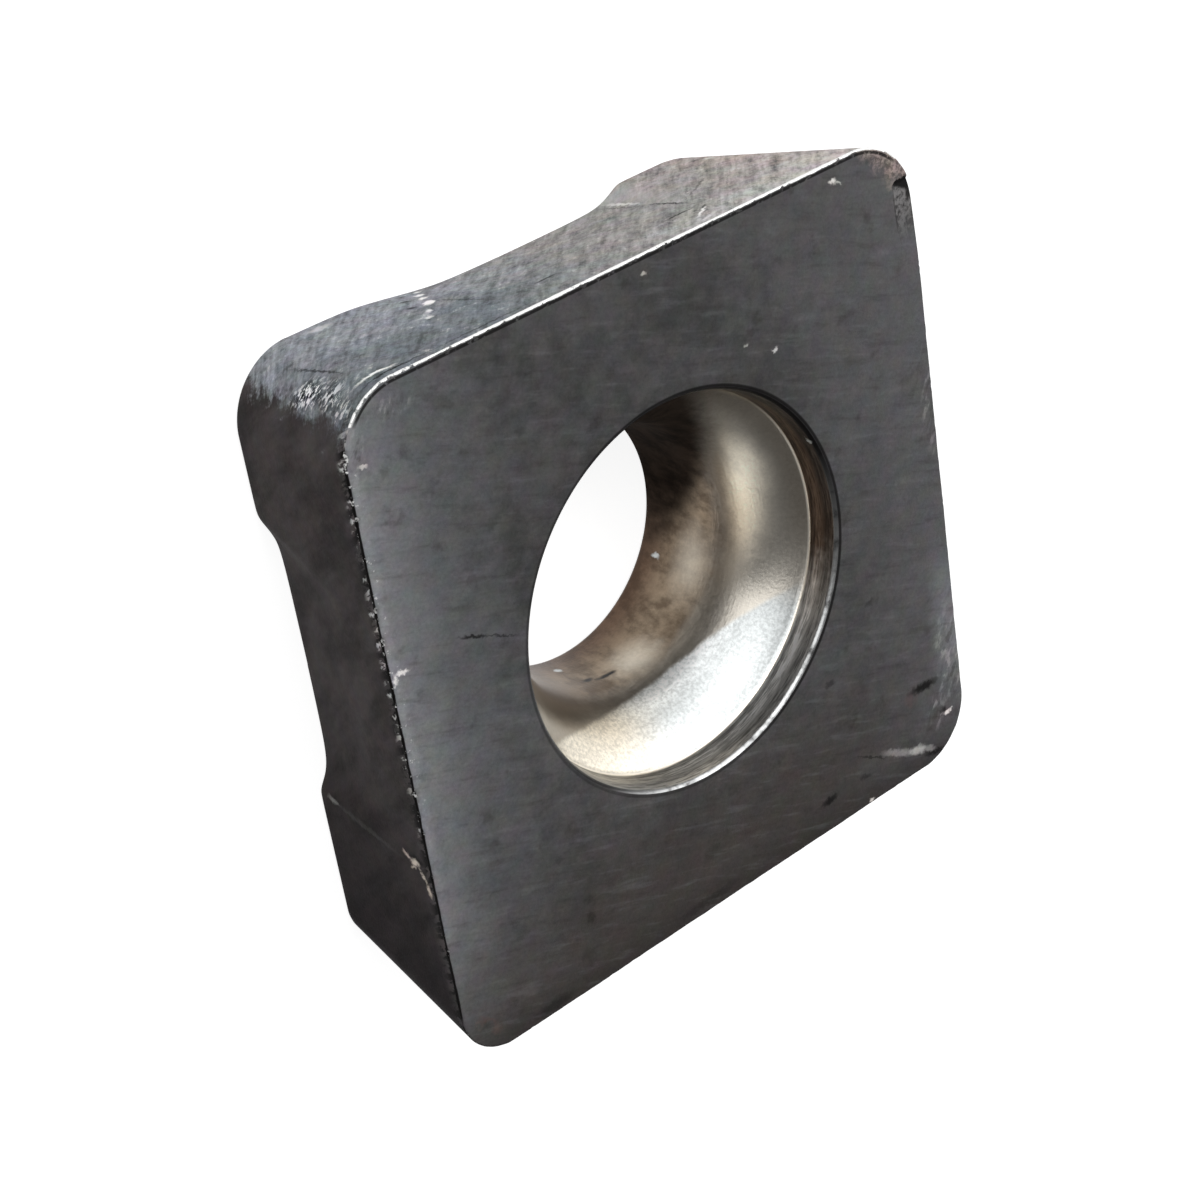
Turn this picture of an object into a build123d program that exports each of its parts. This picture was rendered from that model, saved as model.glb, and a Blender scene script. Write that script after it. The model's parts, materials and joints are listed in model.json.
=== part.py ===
from build123d import *
from math import cos, radians, sin, tan
import os

# A square indexable cutting insert of cemented carbide, pressed and sintered in one piece.
# It lies on its seat face. The origin is the centre of that face, +Z runs up the screw hole
# and out of the rake face, and the four cutting edges lie along X and Y. Millimetres.

# Body
side = 12.7                 # across the cutting edges: the inscribed circle is 1/2 inch
thickness = 3.97            # seat face to rake face: 5/32 inch
corner_radius = 1.25        # nose radius, the same down the whole corner
clearance_angle = 8.0       # how far each flank leans in below its cutting edge

# Recess in the middle of each flank. It leaves a lobe at each corner.
recess_land = 1.1           # height of plain flank kept under the cutting edge
recess_angle = 14.3         # lean of the recess floor
recess_width = 4.4          # width of the floor, between the feet of its two ramps
recess_ramp_angle = 38.0    # slope of the ramps that climb from the floor to the lobes
recess_foot_radius = 0.5    # hollow between floor and ramp

# Screw hole, from the rake face down
mouth_diameter = 7.34
mouth_break = 0.07          # bevel round the mouth
lip_depth = 0.61            # short steep wall under the mouth
lip_floor_diameter = 7.02   # where that wall meets the flare
flare_angle = 55.0          # lean of the flare at its upper end; at the bore it is upright
bore_diameter = 5.0

# Flake broken off one cutting edge, next to a corner
flake_start = 0.9           # from the side of the insert, so it begins on the corner's curve
flake_length = 2.2
flake_width = 0.5
flake_depth = 0.09

# Worked out from the sizes above
half_side = side / 2
seat_half_side = half_side - thickness * tan(radians(clearance_angle))
bore_radius = bore_diameter / 2
lip_floor_radius = lip_floor_diameter / 2
mouth_radius = mouth_diameter / 2
flare_radius = (lip_floor_radius - bore_radius) / (1 - cos(radians(flare_angle)))
flare_height = flare_radius * sin(radians(flare_angle))
lip_floor_height = thickness - lip_depth
bore_length = lip_floor_height - flare_height
cutter_margin = thickness   # how far each cutting tool runs past the body


def tapered_block():
    """The four flanks and corners, from the seat face up to the rake face."""
    profile = Polygon(
        (-half_side, thickness),
        (-seat_half_side, 0),
        (seat_half_side, 0),
        (half_side, thickness),
        align=None,
    )
    two_flanks = extrude(Plane.XZ * profile, side, both=True)
    block = two_flanks & Rot(0, 0, 90) * two_flanks
    corner_edges = block.edges().group_by(Axis.Z)[1]    # between the seat edges and the cutting edges
    return fillet(corner_edges, corner_radius)


def flank_recess():
    """Cutter for the recess in the +Y flank: a ramped trough run down the sloping floor."""
    lean = radians(recess_angle)
    top_of_floor = (0, half_side - recess_land * tan(radians(clearance_angle)), thickness - recess_land)
    across_floor = Plane(origin=top_of_floor, x_dir=(1, 0, 0), z_dir=(0, sin(lean), cos(lean)))
    reach = cutter_margin / tan(radians(recess_ramp_angle))
    floor_end = recess_width / 2
    trough = Polygon(
        (-floor_end, 0),
        (floor_end, 0),
        (floor_end + reach, cutter_margin),
        (-floor_end - reach, cutter_margin),
        align=None,
    )
    feet = trough.vertices().sort_by(Axis.Y)[:2]
    trough = fillet(feet, recess_foot_radius)
    return extrude(across_floor * trough, thickness + cutter_margin, both=True)


def screw_hole():
    """Cutter for the hole: bore, curved flare, steep lip and bevelled mouth, turned about Z."""
    bore_top = (bore_radius, bore_length)
    lip_floor = (lip_floor_radius, lip_floor_height)
    lip_top = (mouth_radius - mouth_break, thickness - mouth_break)
    mouth = (mouth_radius, thickness)
    top = thickness + cutter_margin
    wall = (
        Line((bore_radius, -cutter_margin), bore_top)
        + TangentArc(bore_top, lip_floor, tangent=(0, 1))
        + Polyline(lip_floor, lip_top, mouth, (mouth_radius, top), (0, top))
        + Polyline((0, top), (0, -cutter_margin), (bore_radius, -cutter_margin))
    )
    return revolve(Plane.XZ * make_face(wall), Axis.Z)


def edge_flake():
    """Cutter for the flake: deepest beside the corner, running out along the +X edge."""
    start_y = half_side - flake_start
    start = Vector(half_side - flake_width, start_y, thickness)
    end = Vector(half_side, start_y - flake_length, thickness)
    deepest = Vector(half_side, start_y, thickness - flake_depth)
    along = end - start
    upward = along.cross(deepest - start)
    if upward.Z < 0:
        upward = -upward
    bed = Plane(origin=start, x_dir=along, z_dir=upward)
    size = along.length + cutter_margin
    return bed * Box(size, size, size, align=(Align.MIN, Align.CENTER, Align.MIN))


insert_body = tapered_block() - screw_hole() - edge_flake()
for quarter in range(4):
    insert_body -= Rot(0, 0, 90 * quarter) * flank_recess()

os.makedirs("parts", exist_ok=True)
export_step(insert_body, "parts/insert_body.step")
print("insert_body volume", round(insert_body.volume, 2), "mm3, bore length", round(bore_length, 3))
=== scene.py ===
# %% [markdown]
# # A worn cutting insert
#
# The part is one piece of cemented carbide: tungsten carbide powder pressed in a die, sintered, and then
# given a hard dark coating a few thousandths of a millimetre thick. It has been used, so its edges have
# rubbed through to bright carbide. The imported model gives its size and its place. This script keeps both
# and adds the looks: fine edges, chips, the coating, and the bare metal of the screw hole.

# %% Load the frame
import json
import bpy
import numpy as np
from mathutils import Matrix, Vector


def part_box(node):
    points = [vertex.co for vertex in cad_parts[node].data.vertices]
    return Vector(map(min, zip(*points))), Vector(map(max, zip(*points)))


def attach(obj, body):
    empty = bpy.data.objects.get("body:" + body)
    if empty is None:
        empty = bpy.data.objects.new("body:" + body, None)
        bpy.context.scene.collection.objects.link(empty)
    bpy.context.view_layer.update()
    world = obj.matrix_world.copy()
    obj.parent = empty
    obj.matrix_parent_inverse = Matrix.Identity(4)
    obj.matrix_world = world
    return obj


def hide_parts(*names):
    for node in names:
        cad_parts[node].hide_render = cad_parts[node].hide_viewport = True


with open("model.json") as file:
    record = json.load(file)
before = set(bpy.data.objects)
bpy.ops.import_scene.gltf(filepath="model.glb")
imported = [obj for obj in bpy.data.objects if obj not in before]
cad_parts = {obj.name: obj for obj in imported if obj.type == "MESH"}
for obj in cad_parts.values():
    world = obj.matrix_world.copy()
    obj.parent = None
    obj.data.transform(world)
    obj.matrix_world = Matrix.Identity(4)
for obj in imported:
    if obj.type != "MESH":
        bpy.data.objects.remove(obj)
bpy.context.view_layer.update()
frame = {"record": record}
METRE = 1000.0  # millimetres in a metre: every shape below is worked out in millimetres
low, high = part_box("insert_body")
half_side = high.x * METRE
thickness = high.z * METRE
print("insert", round(2 * half_side, 3), "mm square,", round(thickness, 3), "mm thick")

# %% [markdown]
# ## Sizes of the form
#
# A camera sees a machined part mostly by its edges, so the fine mesh follows the solid's profile: an upright
# bore, a flare like the mouth of a trumpet, a steep lip, a small bevel, the flat rake face, and flanks that
# lean in with a shallow recess in the middle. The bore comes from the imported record. The corner radii are
# this insert's own, as use has left them. Most of the rest are the solid's sizes.

# %% Sizes of the form
bore = {mount["name"]: mount["dims"] for mount in frame["record"]["mounts"]}["screw_hole"]
bore_radius = bore["r_mm"]
bore_length = bore["length_mm"]
top_radii = (1.38, 1.18, 1.00, 1.20)  # rake face: corners at the ends of the +X, +Y, -X and -Y sides
seat_radii = (1.90, 1.30, 0.80, 1.25)  # the same corners on the seat
flank_lean = np.tan(np.radians(8.0))  # how far a flank leans in for each millimetre down
land_height = 1.1  # plain flank under a cutting edge
recess_lean = np.radians(14.3)
recess_half_width = 2.2
ramp_slope = np.tan(np.radians(38.0))  # rise of the ramps beside a recess
ramp_foot = 0.30  # how softly a ramp leaves the recess floor
lobe_softness = 0.05  # rounding where a ramp meets a lobe
lip_floor_radius = 3.51
lip_top_radius = 3.60
mouth_radius = 3.67
lip_depth = 0.61
mouth_break = mouth_radius - lip_top_radius
flare_angle = np.radians(55.0)  # how far the flare turns out of upright before it meets the lip
flare_radius = (lip_floor_radius - bore_radius) / (1 - np.cos(flare_angle))
seat_edge_radius = 0.14  # a pressed edge is never sharp
hone_radius = 0.030  # rounding of the cutting edges
print("bore", round(2 * bore_radius, 3), "mm, flare radius", round(flare_radius, 3), "mm")

# %% [markdown]
# ## Columns round the insert
#
# The insert is a ring, with a hole inside and four flanks outside, and a ring can be meshed as a grid that
# closes on itself both ways, with no gap. A bevel modifier on the plain solid would be quicker, but it can't
# give one edge a chip and leave its neighbour clean. So the grid has *columns*, which go round the insert,
# and *rings*, which go from the bore over the top and down the flank to the seat.
#
# A rounded square is walked side by side. On a side, `along` runs from 0 to 1 and `turn` is zero. On a
# corner, `along` stays at 1 and `turn` swings the outward direction to the next side.

# %% Columns round the insert
EAST, NORTH, WEST, SOUTH = 0, 1, 2, 3  # +X, +Y, -X and -Y sides
columns_per_side = 210
columns_per_corner = 46

side_along = np.linspace(0, 1, columns_per_side, endpoint=False)
corner_turn = np.linspace(0, np.pi / 2, columns_per_corner, endpoint=False)
side = np.repeat(np.arange(4), columns_per_side + columns_per_corner)
along = np.tile(np.concatenate([side_along, np.ones(columns_per_corner)]), 4)
turn = np.tile(np.concatenate([np.zeros(columns_per_side), corner_turn]), 4)
side_angle = side * np.pi / 2
face_out = np.stack([np.cos(side_angle), np.sin(side_angle)], axis=1)  # straight out of the side
face_along = np.stack([-np.sin(side_angle), np.cos(side_angle)], axis=1)  # along the side
outward = np.cos(turn)[:, None] * face_out + np.sin(turn)[:, None] * face_along
column_count = len(side)
print(column_count, "columns")

# %% [markdown]
# ## Wear along the edges
#
# A coated edge is honed to a radius of a few hundredths of a millimetre, and use wears it unevenly. A sum
# of a few sine waves along the edge gives a smooth, seeded wobble. Random numbers for each column would
# look like static.

# %% Wear along the edges
edge_wobble_seed = 11
edge_wobble_waves = 24
edge_wobble_length = 6.0  # the longest wave
edge_wobble_share = 0.35  # how much of the hone's radius comes and goes

def wobble(distance, seed, waves, longest):
    """A smooth random curve between about -1 and 1, from sine waves of many lengths."""
    dice = np.random.default_rng(seed)
    total = np.zeros_like(distance)
    for number in range(1, waves + 1):
        frequency = 2 * np.pi * number / longest
        strength = 1 / number ** 0.6
        total += strength * np.sin(frequency * distance + dice.uniform(0, 2 * np.pi))
    return total / np.abs(total).max()

edge_distance_round = np.arange(column_count) / column_count * 8 * half_side
edge_wobble = wobble(edge_distance_round, edge_wobble_seed, edge_wobble_waves, edge_wobble_length)
hone = hone_radius * (1 + edge_wobble_share * edge_wobble)
print("hone from", round(hone.min(), 3), "to", round(hone.max(), 3), "mm")

# %% [markdown]
# ## Rings from the bore to the seat
#
# Each ring is one height or one step across a face, for all columns at once. Where a real edge is tight,
# three or four rings lie close together, so that smooth shading turns there and stays flat elsewhere.

# %% Rings from the bore to the seat
rings = []

def add_ring(flat, height, distance, below):
    """Keep one ring: plan points, heights, distance from the cutting edge, and depth under it."""
    points = np.empty((column_count, 3))
    points[:, :2] = flat
    points[:, 2] = height
    rings.append((points, np.broadcast_to(distance, column_count), np.broadcast_to(below, column_count)))

def outline(below, inset=0.0):
    """The rounded square at this depth under the cutting edge, moved in by the inset, in plan."""
    half = half_side - below * flank_lean
    share = below / thickness
    radius, radius_before = [
        np.take(top_radii, corner) * (1 - share) + np.take(seat_radii, corner) * share
        for corner in (side, (side - 1) % 4)
    ]
    end = half - radius  # where the side meets its next corner
    start = radius_before - half  # and where it leaves the corner before
    walked = start + along * (end - start)
    corner_centre = end[:, None] * face_out + walked[:, None] * face_along
    return corner_centre + (radius - inset)[:, None] * outward

mouth_angle = np.arctan2(outline(0)[:, 1], outline(0)[:, 0])
spoke = np.stack([np.cos(mouth_angle), np.sin(mouth_angle)], axis=1)
FAR = 9.0  # a distance that means "not near the cutting edge"

def add_circle(radius, height):
    add_ring(radius * spoke, height, FAR, FAR)

bore_edge_radius = 0.10
bore_edge_rings = 4
for swing in np.linspace(np.pi / 2, 0, bore_edge_rings):
    add_circle(bore_radius + bore_edge_radius * (1 - np.cos(swing)), bore_edge_radius * (1 - np.sin(swing)))
add_circle(bore_radius, 0.5 * bore_length)

flare_rings = 24
for swing in np.linspace(0, flare_angle, flare_rings):
    add_circle(bore_radius + flare_radius * (1 - np.cos(swing)), bore_length + flare_radius * np.sin(swing))

lip_floor_height = thickness - lip_depth
lip_top_height = thickness - mouth_break
crease = 0.012  # half width of a tight edge
for share in (0.03, 0.5, 0.97):
    add_circle(
        lip_floor_radius + share * (lip_top_radius - lip_floor_radius),
        lip_floor_height + share * (lip_top_height - lip_floor_height),
    )
add_circle(lip_top_radius + crease, lip_top_height + crease)
add_circle(mouth_radius - crease, thickness - crease)
hole_rings = len(rings)

# Rake face, from the mouth out to the edge: two rings at the mouth, two across, then closer and closer.
edge_tangent = (1 + flank_lean) * hone  # how far the hone's curve reaches in from the edge, and down
rake_band = 0.95  # width of the rake face that gets close rings
band_inner = outline(0, rake_band)
for share in (0.012, 0.25, 0.6):
    radius_out = mouth_radius * spoke
    add_ring(radius_out + share * (band_inner - radius_out), thickness, rake_band, 0.0)
for share in (1.0, 0.78, 0.62, 0.52, 0.45, 0.39, 0.33, 0.27, 0.21, 0.16, 0.11, 0.07, 0.03):
    inset = edge_tangent + share * (rake_band - edge_tangent)
    add_ring(outline(0, inset), thickness, inset, 0.0)

# The hone: an arc from the rake face, facing up, to the flank, facing out.
hone_rings = 6
flank_facing = np.pi / 2 + np.arctan(flank_lean)
for swing in np.linspace(0, flank_facing, hone_rings):
    inset = edge_tangent - hone * np.sin(swing)
    drop = hone * (1 - np.cos(swing))
    add_ring(outline(0, inset), thickness - drop, 0.3 * inset, drop)
edge_ring = len(rings) - hone_rings // 2

# Worn ends of the recesses: where the ramp starts, how steep it is, and how soft its foot and top are.
worn_ends = {
    (NORTH, 1): (1.45, 0.178, 0.60, 0.08),
    (NORTH, -1): (2.48, 0.68, 0.30, 0.05),
    (WEST, -1): (2.52, 0.56, 0.30, 0.05),
    (WEST, 1): (2.14, 0.90, 0.30, 0.05),
}

ramp_fade = 0.12  # a ramp this high counts as all ramp
cut_fade = 0.04  # and a cut this deep as all recess
tail_gap = 2.0  # how far from a recess its soft side is brought to nothing

def flank_cut(below):
    """How far the recess cuts in at this depth under the cutting edge, and how far up its ramp it is."""
    plain = outline(below)
    reach_out = np.sum(plain * face_out, axis=1)
    reach_along = np.sum(plain * face_along, axis=1)
    shape = np.tile([recess_half_width, ramp_slope, ramp_foot, lobe_softness], (column_count, 1))
    for (on_side, end), worn in worn_ends.items():
        shape[(side == on_side) & (reach_along * end > 0)] = worn
    ramp_start, slope, foot, softness = shape.T
    past_foot = np.abs(reach_along) - ramp_start
    ramp = 0.5 * slope * (past_foot + np.sqrt(past_foot ** 2 + foot ** 2))
    floor_reach = half_side - land_height * flank_lean
    floor_reach = floor_reach + ((land_height - below) * np.sin(recess_lean) + ramp) / np.cos(recess_lean)
    gap = reach_out - floor_reach
    cut = 0.5 * (gap + np.sqrt(gap ** 2 + softness ** 2))
    tail = 0.5 * (np.sqrt(tail_gap ** 2 + softness ** 2) - tail_gap)
    cut = np.where(turn == 0, cut - tail, 0)
    return np.maximum(cut, 0), np.clip(ramp / ramp_fade, 0, 1)

def flank_outline(below):
    """Plan points of the flank at this depth under the cutting edge, with the recess cut into it."""
    return outline(below) - flank_cut(below)[0][:, None] * face_out

for share in (0.03, 0.07, 0.12, 0.18, 0.26, 0.36, 0.5, 0.66, 0.82, 0.92, 1.0):
    below = edge_tangent + share * (land_height - edge_tangent)
    add_ring(flank_outline(below), thickness - below, below, below)
recess_rings = 20
for below in np.linspace(land_height, thickness - seat_edge_radius, recess_rings + 1)[1:]:
    add_ring(flank_outline(below), thickness - below, below, below)
for swing in np.radians((22, 45, 67, 90)):
    height = seat_edge_radius * (1 - np.sin(swing))
    pulled_in = seat_edge_radius * (1 - np.cos(swing))
    add_ring(flank_outline(thickness - height) - pulled_in * outward, height, FAR, thickness)
seat_outer = rings[-1][0][:, :2]
seat_ring = len(rings) - 1
bore_rim = (bore_radius + bore_edge_radius) * spoke
for share in (0.02, 0.5, 0.98):
    add_ring(seat_outer + share * (bore_rim - seat_outer), 0.0, FAR, thickness)

points = np.stack([ring[0] for ring in rings], axis=1)  # columns x rings x 3
from_edge = np.stack([ring[1] for ring in rings], axis=1)
depth_below = np.stack([ring[2] for ring in rings], axis=1)
on_ramp = np.zeros_like(from_edge)
for number in range(from_edge.shape[1]):
    depth = depth_below[0, number]
    if land_height < depth < thickness:
        cut, climb = flank_cut(depth)
        on_ramp[:, number] = np.clip(cut / cut_fade, 0, 1) * climb
ring_count = len(rings)
print(ring_count, "rings,", 2 * ring_count * column_count, "triangles")

# %% [markdown]
# ## Chips and the flake
#
# Carbide is brittle. A chip leaves a small scoop whose middle lies on the edge. A boolean cut would leave
# ragged faces, so the grid's points are pushed instead: every point inside an ellipsoid slides along one
# fixed direction until it meets the far side. Points that slide side by side never cross. How far each one
# moved is kept, because a fresh break is bare carbide and looks brighter.

# %% Chips and the flake
chip_depth = np.zeros((column_count, ring_count))
UP = np.array([0.0, 0.0, 1.0])

def chip(on_side, place, length, depth, width, lean):
    """Break a scoop out of a cutting edge: place and length along it, depth into it, width across it."""
    angle = on_side * np.pi / 2
    out = np.array([np.cos(angle), np.sin(angle), 0.0])
    along_edge = np.array([-np.sin(angle), np.cos(angle), 0.0])
    into = -(lean * UP + (1 - lean) * out)
    into /= np.linalg.norm(into)
    across = np.cross(along_edge, into)
    radius = (depth ** 2 + width ** 2) / (2 * depth)
    centre = half_side * out + place * along_edge + thickness * UP - (radius - depth) * into
    offset = points - centre
    part_along = offset @ along_edge / (length / 2)
    part_across = offset @ across / radius
    part_into = offset @ into
    room = 1 - part_along ** 2 - part_across ** 2
    slide = radius * np.sqrt(np.maximum(room, 0)) - part_into
    inside = (room > 0) & (slide > 0) & (part_into > -radius)
    slide = np.where(inside, slide, 0)
    points[...] += slide[..., None] * into
    chip_depth[...] = np.maximum(chip_depth, slide)

west_chips = (  # place, length, depth, width, lean
    (5.21, 0.22, 0.05, 0.09, 0.6),
    (4.71, 0.2, 0.045, 0.08, 0.5),
    (4.31, 0.28, 0.055, 0.1, 0.5),
    (3.68, 0.16, 0.03, 0.06, 0.4),
    (2.71, 0.24, 0.05, 0.09, 0.6),
    (2.14, 0.26, 0.055, 0.1, 0.5),
    (1.15, 0.18, 0.035, 0.06, 0.4),
    (0.35, 0.2, 0.03, 0.06, 0.5),
    (-0.72, 0.22, 0.045, 0.08, 0.5),
    (-1.52, 0.26, 0.05, 0.09, 0.5),
    (-2.37, 0.18, 0.035, 0.07, 0.5),
    (-3.92, 0.24, 0.04, 0.08, 0.5),
    (5.42, 0.9, 0.085, 0.24, 0.35),  # a worn flat beside the corner
)
for place, length, depth, width, lean in west_chips:
    chip(WEST, -place, length, depth, width, lean)

small_chip_seed = 5
small_chips_per_side = {EAST: 26, NORTH: 16, WEST: 40, SOUTH: 22}
small_chip_limits = ((-5.0, 5.0), (0.08, 0.26), (0.010, 0.028), (0.03, 0.07), (0.3, 0.7))
dice = np.random.default_rng(small_chip_seed)
for on_side, count in small_chips_per_side.items():
    for number in range(count):
        chip(on_side, *[dice.uniform(*limits) for limits in small_chip_limits])

flake_from_corner = 0.9
flake_length = 2.2
flake_width = 0.5
flake_depth = 0.09
flake_narrowing = 0.4  # how much narrower it is where it runs out
flake_inner_depth = 0.30  # its depth along the inner side, as a share of the outer one
flake_end_step = 0.04  # how far it takes to drop at its deep end,
flake_side_step = 0.14  # and along its inner side

def break_flake():
    """Lower a strip of the rake face beside one corner onto the bed that a lost flake left."""
    past_start = half_side - flake_from_corner - points[..., 1]
    share = np.clip(past_start / flake_length, 0, 1)
    inner = half_side - flake_width * (1 - flake_narrowing * share ** 2)
    across = (points[..., 0] - inner) / flake_width
    steep = np.clip(past_start / flake_end_step, 0, 1) * np.clip(across / flake_side_step, 0, 1)
    outer = flake_inner_depth + (1 - flake_inner_depth) * np.clip(across, 0, 1)
    depth = flake_depth * steep * (1 - share) * outer
    drop = np.clip(points[..., 2] - (thickness - depth), 0, None)
    points[..., 2] -= drop
    return drop

flake_drop = break_flake()
print(int((chip_depth > 0).sum()), "points chipped,", int((flake_drop > 0).sum()), "points in the flake")

# %% [markdown]
# ## The mesh
#
# Each point of the grid has four faces round it. Five measures ride along as mesh attributes, for the
# finish to read: the distance from the cutting edge, the depth under it, the depths of the chips and of
# the flake, and the ramps of the recesses.

# %% The mesh
FACE, HOLE, FLANK = range(3)  # the order of the materials

def build_mesh():
    """Turn the grid of points into one closed mesh, coated outside and bare in the hole."""
    column = np.arange(column_count)[:, None]
    ring = np.arange(ring_count)[None, :]
    column_next = (column + 1) % column_count
    ring_next = (ring + 1) % ring_count
    corners = ((column, ring), (column_next, ring), (column_next, ring_next), (column, ring_next))
    faces = np.stack([which * ring_count + level for which, level in corners], axis=-1).reshape(-1, 4)
    mesh = bpy.data.meshes.new("insert_shell")
    mesh.from_pydata((points.reshape(-1, 3) / METRE).tolist(), [], faces.tolist())
    on_flank = (ring >= edge_ring) & (ring < seat_ring)
    material = np.where(ring < hole_rings - 1, HOLE, np.where(on_flank, FLANK, FACE))
    material = np.broadcast_to(material.astype(np.int32), (column_count, ring_count))
    mesh.polygons.foreach_set("material_index", material.reshape(-1))
    mesh.polygons.foreach_set("use_smooth", np.ones(len(faces), bool))
    measures = {
        "from_edge": from_edge, "below_edge": depth_below,
        "chip_depth": chip_depth, "flake_drop": flake_drop, "ramp": on_ramp,
    }
    for name, values in measures.items():
        layer = mesh.attributes.new(name, "FLOAT", "POINT")
        layer.data.foreach_set("value", values.astype(np.float32).reshape(-1))
    mesh.update()
    mesh.validate()
    return mesh

shell = bpy.data.objects.new("insert_shell", build_mesh())
bpy.context.scene.collection.objects.link(shell)
flat_faces = shell.modifiers.new("flat_faces", "WEIGHTED_NORMAL")
flat_faces.weight = 50
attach(shell, "root")
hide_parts("insert_body")
print(len(shell.data.vertices), "points,", len(shell.data.polygons), "faces")

# %% [markdown]
# ## Writing a finish as sums
#
# A finish is a graph of nodes, and its masks are sums and products of other masks. Wiring Math nodes by
# hand hides that, so one small class wraps a socket and lets Python's operators add the nodes.

# %% Writing a finish as sums
class Socket:
    """An output of a node. Sums and products of sockets add Math nodes."""

    def __init__(self, finish, output):
        self.finish = finish
        self.output = output

    def math(self, operation, first, second=0.0):
        return self.finish.node("ShaderNodeMath", {0: first, 1: second}, {"operation": operation})

    def __add__(self, other):
        return self.math("ADD", self, other)

    def __sub__(self, other):
        return self.math("SUBTRACT", self, other)

    def __rsub__(self, other):
        return self.math("SUBTRACT", other, self)

    def __mul__(self, other):
        return self.math("MULTIPLY", self, other)

    def __neg__(self):
        return self.math("MULTIPLY", self, -1.0)

    def __abs__(self):
        return self.math("ABSOLUTE", self)

    __radd__ = __add__
    __rmul__ = __mul__

    def most(self, other):
        return self.math("MAXIMUM", self, other)

    def rise(self, start, end, height=1.0):
        """0 at the start, the height at the end, smooth between. A start above the end gives a fall."""
        inputs = {"Value": self, "From Min": start, "From Max": end, "To Max": height}
        return self.finish.node("ShaderNodeMapRange", inputs, {"interpolation_type": "SMOOTHSTEP"})

    def band(self, centre, half_width, soft):
        """1 near the centre value, fading over the soft width outside the half width."""
        return abs(self - centre).rise(half_width + soft, half_width)

# %% [markdown]
# ## Colours, places and marks
#
# A second class adds every other node. A mark is a soft oval: `Mapping` in its texture mode measures how far
# a place lies from the oval's middle, in units of its half sizes. Noise shakes the place first, so the
# ovals come out ragged, as real chips and stains do.
#
# A third class keeps a colour while coats are laid over it, one after another, each by its own mask.

# %% Colours, places and marks
def grey(level):
    return level, level, level, 1

class Finish:
    """A material whose nodes are written as expressions."""

    def __init__(self, name):
        self.material = bpy.data.materials.new(name)
        self.material.use_nodes = True
        self.tree = self.material.node_tree
        self.tree.nodes.clear()

    def node(self, kind, inputs=None, settings=None, out=0):
        """Add a node with these settings, and fill or link its inputs."""
        made = self.tree.nodes.new(kind)
        for name, value in (settings or {}).items():
            setattr(made, name, value)
        for name, value in (inputs or {}).items():
            if isinstance(value, Socket):
                self.tree.links.new(value.output, made.inputs[name])
            else:
                made.inputs[name].default_value = value
        return Socket(self, made.outputs[out]) if made.outputs else None

    def mapped(self, vector, location=(0, 0, 0), scale=1.0):
        """The same place, scaled and then moved."""
        inputs = {"Vector": vector, "Location": location, "Scale": np.broadcast_to(scale, 3).tolist()}
        return self.node("ShaderNodeMapping", inputs)

    def position(self):
        """The place on the part, in millimetres."""
        return self.mapped(self.node("ShaderNodeTexCoord", out="Object"), scale=METRE)

    def axes(self, vector):
        """The three parts of a vector."""
        return [self.node("ShaderNodeSeparateXYZ", {0: vector}, out=axis) for axis in "XYZ"]

    def polar(self, x, y):
        """Degrees round the hole from +X, and distance from its axis."""
        angle = self.node("ShaderNodeMath", {0: y, 1: x}, {"operation": "ARCTAN2"}) * float(np.degrees(1))
        radius = self.node("ShaderNodeMath", {0: x * x + y * y}, {"operation": "SQRT"})
        return angle, radius

    def measure(self, name):
        """A measure that the mesh carries."""
        return self.node("ShaderNodeAttribute", {}, {"attribute_name": name}, "Fac")

    def drawn_out(self, vector, turn, sizes, centre=(0, 0, 0)):
        """The place from this centre, turned by these degrees, each axis so many times longer."""
        turn = np.radians(turn).tolist()
        inputs = {"Vector": vector, "Location": centre, "Rotation": turn, "Scale": sizes}
        return self.node("ShaderNodeMapping", inputs, {"vector_type": "TEXTURE"})

    def noise(self, vector, per_mm, detail=3.0, roughness=0.55, out=0):
        """Cloudy noise round 0.5, with so many cells to the millimetre."""
        inputs = {"Vector": vector, "Scale": per_mm, "Detail": detail, "Roughness": roughness}
        return self.node("ShaderNodeTexNoise", inputs, out=out)

    def shaken(self, vector, per_mm, reach):
        """The same place, moved about by noise as far as the reach."""
        span = 4 * reach  # the noise keeps within a quarter of this from its middle
        cloud = self.noise(vector, per_mm, out="Color")
        return self.mapped(self.mapped(vector, cloud, 1 / span), (-0.5 * span,) * 3, span)

    def mix(self, factor, first, second, blend="MIX"):
        """Blend two colours."""
        settings = {"data_type": "RGBA", "blend_type": blend}
        return self.node("ShaderNodeMix", {0: factor, 6: first, 7: second}, settings, 2)

    def varied(self, colour, amount, low, high):
        """The same colour, this many times as bright where the amount is 0, and where it is 1."""
        lowest = self.mix(1.0, colour, grey(low), "MULTIPLY")
        return self.mix(amount, lowest, grey(high / low), "MULTIPLY")

    def marks(self, vector, ovals, fade=0.75):
        """The strongest of several ovals: each has a centre, half sizes, a turn and a strength."""
        total = None
        for centre, half_sizes, turn, strength in ovals:
            inside = self.drawn_out(vector, turn, half_sizes, centre)
            one = self.node("ShaderNodeTexGradient", {0: inside}, {"gradient_type": "SPHERICAL"}, "Fac")
            one = one.rise(0.0, fade, strength)
            total = one if total is None else total.most(one)
        return total

    def bump(self, height, strength, depth_mm):
        inputs = {"Strength": strength, "Distance": depth_mm / METRE, "Height": height}
        return self.node("ShaderNodeBump", inputs)

    def surface(self, **inputs):
        """Finish the material with one Principled shader."""
        inputs = {name.replace("_", " "): value for name, value in inputs.items()}
        shader = self.node("ShaderNodeBsdfPrincipled", inputs)
        self.node("ShaderNodeOutputMaterial", {"Surface": shader})
        return self.material

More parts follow.
